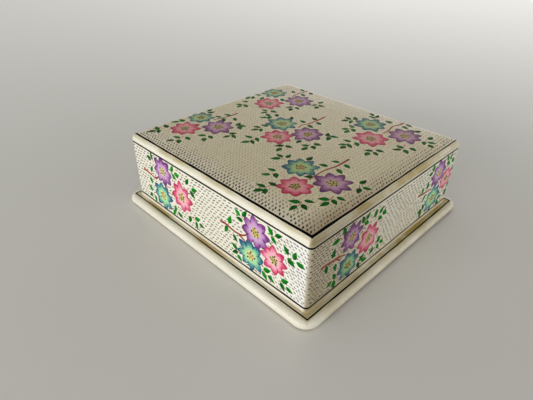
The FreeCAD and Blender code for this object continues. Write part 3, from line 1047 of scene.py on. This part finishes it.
def roundedLoop(halfX, halfY, radius, perSide, perCorner):
    # anticlockwise from the front wall: each side is a straight run, then a quarter circle
    corners = [(1, -1, -90), (1, 1, 0), (-1, 1, 90), (-1, -1, 180)]
    spots, normals = [], []
    for signX, signY, start in corners:
        normal = ahead(np.radians(start + np.linspace(0, 90, perCorner)))
        centre = np.array([signX * (halfX - radius), signY * (halfY - radius)])
        spots.append(centre + radius * normal)
        normals.append(normal)
    loop, outward = [], []
    share = (1 - np.cos(np.linspace(0, np.pi, perSide, endpoint=False)[1:, None])) / 2  # closer near corners
    for corner in range(4):
        first, last = spots[corner - 1][-1], spots[corner][0]
        loop += [first + share * (last - first), spots[corner]]
        outward += [np.repeat(normals[corner][:1], perSide - 1, axis=0), normals[corner]]
    return np.concatenate(loop), np.concatenate(outward)


def wobble(path, size):  # slow waves along a closed path, as a hand-drawn line wanders
    step = np.linalg.norm(np.roll(path, -1, axis=0) - path, axis=1)
    turn = 2 * np.pi * (np.cumsum(step) - step) / step.sum()
    waves = [np.sin(turn * count + dice.uniform(0, 6.3)) for count in lineSizes["waves"]]
    return size * sum(waves) / lineSizes["waveScale"]


def linePatch(spot, z):  # rows run across the line, columns round the loop
    points = np.concatenate([spot, z[..., None]], axis=-1)
    rows, cols = points.shape[:2]
    across = (profileAcross + 1) / 2
    along = np.linspace(0, 1, cols)
    shade = 0.5 + wobble(points[rows // 2], lineSizes["shadeSwell"])
    tint = along, across * lineSizes["acrossShare"], shade * lineSizes["shadeShare"]
    brush = across * lineSizes["brush"][0], along * lineSizes["brush"][1]
    return makePatch(points, gridQuads(1, rows, cols, True), tint, brush)


def flatLine(low, high, ground, lift, half, taper=0.0):
    # mitred rectangle from corner to corner, thinner to the right by taper; ground(x, y) is the height there
    middle = (np.array(low) + np.array(high)) / 2
    reach = (np.array(high) - np.array(low)) / 2
    sharp = lineSizes["sharpCorner"]
    loop, outward = roundedLoop(*reach, sharp, lineSizes["perSide"], lineSizes["perSharpCorner"])
    spread = np.sign(loop) * np.where(np.abs(loop) > reach - lineSizes["cornerReach"] * sharp, 1.0, 0.0)
    drift = wobble(loop, lineSizes["wobble"])
    width = half * (1 + wobble(loop, lineSizes["flatSwell"]) - taper * (loop[:, 0] / reach[0] + 1) / 2)
    spot = middle + loop[None] + (drift + profileAcross * width)[..., None] * spread[None]
    return linePatch(spot, ground(spot[..., 0], spot[..., 1]) + rise(profileAcross, lift, 4))


def lidSurface(x, y):
    return lidTop - lidDrop(x, y)


def baseSurface(x, y):
    return footHeight + 0 * x


def wallLine(drop, half):  # band round the four walls, top edge first, kept under the seam
    loop, outward = roundedLoop(halfWidth, halfDepth, boards["cornerRound"], lineSizes["perSide"],
                                lineSizes["perRoundCorner"])
    drift = wobble(loop, lineSizes["wobble"]) * (drop > lineSizes["seamDrop"])  # none along the seam
    width = half * (1 + wobble(loop, lineSizes["wallSwell"]))
    z = seamHeight - drop + drift - profileAcross * width
    z = np.minimum(z, seamHeight - lineSizes["belowSeam"])
    out = rise(profileAcross, lineSizes["lift"], 4) + 0 * z
    return linePatch(loop[None] + out[..., None] * outward[None], z)


inset = lineSizes["lidInsets"]
lidLine = flatLine((inset["left"] - halfWidth, inset["front"] - halfDepth),
                   (halfWidth - inset["right"], halfDepth - inset["back"]),
                   lidSurface, lineSizes["lidLift"], lineSizes["lidHalf"], lineSizes["lidTaper"])
addPiece("lid_border_line", [lidLine], paints["lid"]["line"], "lid")
gap = lineSizes["baseGaps"]
baseLine = flatLine((-halfWidth - gap["left"], -halfDepth - gap["front"]),
                    (halfWidth + gap["right"], halfDepth + gap["back"]),
                    baseSurface, lineSizes["lift"], lineSizes["baseHalf"])
addPiece("box_lines", [wallLine(lineSizes["seamDrop"], lineSizes["seamHalf"]),
                       wallLine(lineSizes["footDrop"], lineSizes["footHalf"]), baseLine],
         paints["box"]["line"], "box")
print("lines drawn")


# Felt

felts = {
    "floor_felt": {"node": "floor_lining", "body": "box", "slot": "lining_felt", "corner": 0.6,
                   "on": "base_board"},
    "lid_felt": {"node": "lid_lining", "body": "lid", "slot": "lining_felt", "corner": 0.6,
                 "on": "lid_board"},
    "foot_felt": {"node": "base_felt", "body": "box", "slot": "base_felt", "corner": 3.0,
                  "on": "base_board"},
}
feltEdge = {  # from the middle of the underside, round a soft edge, to the middle of the top
    "share": [0, 0.35, 0.7, 0.93, 1, 1, 1, 1, 0.93, 0.7, 0.35, 0],  # of the way out
    "inset": [0, 0, 0, 0, 0.35, 0.06, 0.06, 0.35, 0, 0, 0, 0],  # of the thickness
    "level": [0, 0, 0, 0, 0.02, 0.3, 0.7, 0.97, 0.99, 0.98, 0.98, 0.97],
    "fuzz": 0.01, "fuzzFrom": 0.9, "waves": (3.1, 2.7, 5), "perSide": 40, "perCorner": 7,
}
feltTones = {"lining_felt": ("liningFelt", tone(150, 34, 40), tone(92, 12, 20)),
             "base_felt": ("footFelt", tone(58, 92, 66), tone(28, 54, 36))}
feltShine = {"Roughness": 0.95, "Sheen_Weight": 0.35, "Sheen_Roughness": 0.4}
feltBump = {"strength": 0.5, "distance": 0.0004}


def feltFinish(name, light, dark):
    material, tree, inputs = newMaterial(name, **feltShine)
    nap = useGroup(tree, feltNap, {"Place": objectPlace(tree)})
    wire(tree, inputs, {"Base Color": mixTone(tree, nap["Fibre"], dark, light)})
    bumpUp(tree, inputs, nap["Height"], **feltBump)
    return material


feltPaints = {slot: feltFinish(*look) for slot, look in feltTones.items()}


def feltSheet(name, node, body, slot, corner, on):  # the profile feltEdge carried round a rounded loop
    low, high = (np.array(point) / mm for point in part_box(node))
    halfX, halfY = high[0], high[1]
    thick = high[2] - low[2]
    loop, outward = roundedLoop(halfX, halfY, corner, feltEdge["perSide"], feltEdge["perCorner"])
    share, inset, level = (np.array(feltEdge[key])[:, None] for key in ("share", "inset", "level"))
    spot = loop[None] * share[..., None] - outward[None] * thick * inset[..., None]
    x, y = spot[..., 0], spot[..., 1]
    first, second, third = feltEdge["waves"]
    waves = np.sin(x / first) + np.sin(y / second + x / third)
    fuzz = feltEdge["fuzz"] * thick * waves * (level > feltEdge["fuzzFrom"])
    z = low[2] + thick * level + np.minimum(fuzz, 0)
    points = np.stack([x, y, z], axis=-1)
    patch = makePatch(points, gridQuads(1, *z.shape, True), (0 * z, 0 * z, 0 * z), (x, y))
    piece = addPiece(name, [patch], feltPaints[slot], body)
    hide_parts(node)


for name, felt in felts.items():
    feltSheet(name, **felt)
print("felt laid")


# Table top, light and camera

table = {"half": 4.0, "roughness": 0.24, "tones": (tone(229, 228, 223), tone(234, 233, 228)), "cloudScale": 3}
lights = {
    "key": {"place": (-1.25, 0.12, 0.27), "aim": (0, 0, 0.02), "size": (1.0, 0.5), "power": 7.8,
            "tint": (1, 0.99, 0.97)},
    "world": {"tint": (1.0, 0.985, 0.94), "level": 1.02, "overhead": 0.31, "bend": 0.6, "glow": 1.05,
              "heading": (0.9, -0.35), "over": (-0.35, 0.8)},
}
view = {"place": (-162.6, -139.84, 144.59), "heading": -45.275, "pitch": 33.65, "roll": 0.864, "lens": 29.0}


def floorFinish():  # two pale tones in wide clouds
    material, tree, inputs = newMaterial("paleTable", Roughness=table["roughness"])
    cloud = noise(tree, objectPlace(tree), table["cloudScale"], 3)
    wire(tree, inputs, {"Base Color": mixTone(tree, cloud, *table["tones"])})
    return material


def addFloor():
    mesh = bpy.data.meshes.new("table_top")
    corners = np.array([(-1, -1, 0), (1, -1, 0), (1, 1, 0), (-1, 1, 0)]) * table["half"]
    mesh.from_pydata(corners, [], [(0, 1, 2, 3)])
    mesh.materials.append(floorFinish())
    floor = bpy.data.objects.new("table_top", mesh)
    bpy.context.collection.objects.link(floor)


def addLight(place, aim, size, power, tint):
    lamp = bpy.data.lights.new("window", "AREA")
    lamp.shape = "RECTANGLE"
    lamp.size, lamp.size_y = size
    lamp.energy = power
    lamp.color = tint
    obj = bpy.data.objects.new("window", lamp)
    away = np.array(place) - np.array(aim)
    obj.location = place
    obj.rotation_euler = (math.atan2(math.hypot(away[0], away[1]), away[2]), 0, math.atan2(away[0], -away[1]))
    bpy.context.collection.objects.link(obj)


def addWorld(tint, level, overhead, bend, glow, heading, over):
    # pale walls all round, brighter by glow towards heading, under a dimmer ceiling
    world = bpy.data.worlds.new("room")
    world.use_nodes = True
    tree = world.node_tree
    inputs = tree.nodes["Background"].inputs
    inputs["Color"].default_value = (*tint, 1)
    x, y, up = split(tree, put(tree, "ShaderNodeTexCoord").outputs["Generated"])
    rightwards = plus(tree, times(tree, x, heading[0]), times(tree, y, heading[1]))
    wall = fade(tree, rightwards, *over, level, level + glow)
    wire(tree, inputs, {"Strength": blend(tree, fade(tree, up, 0.0, bend), wall, overhead)})
    bpy.context.scene.world = world


def addCamera(place, heading, pitch, roll, lens):
    data = bpy.data.cameras.new("view")
    data.sensor_fit = "HORIZONTAL"
    data.sensor_width = 36
    data.lens = lens
    camera = bpy.data.objects.new("view", data)
    turn = Matrix.Rotation(math.radians(heading), 4, "Z") @ Matrix.Rotation(math.radians(90 - pitch), 4, "X")
    turn = turn @ Matrix.Rotation(math.radians(roll), 4, "Z")
    camera.matrix_world = Matrix.Translation(np.array(place) * mm) @ turn
    bpy.context.collection.objects.link(camera)
    bpy.context.scene.camera = camera


addFloor()
addLight(**lights["key"])
addWorld(**lights["world"])
addCamera(**view)
bpy.context.scene.view_settings.view_transform = "Standard"
print("stage set")
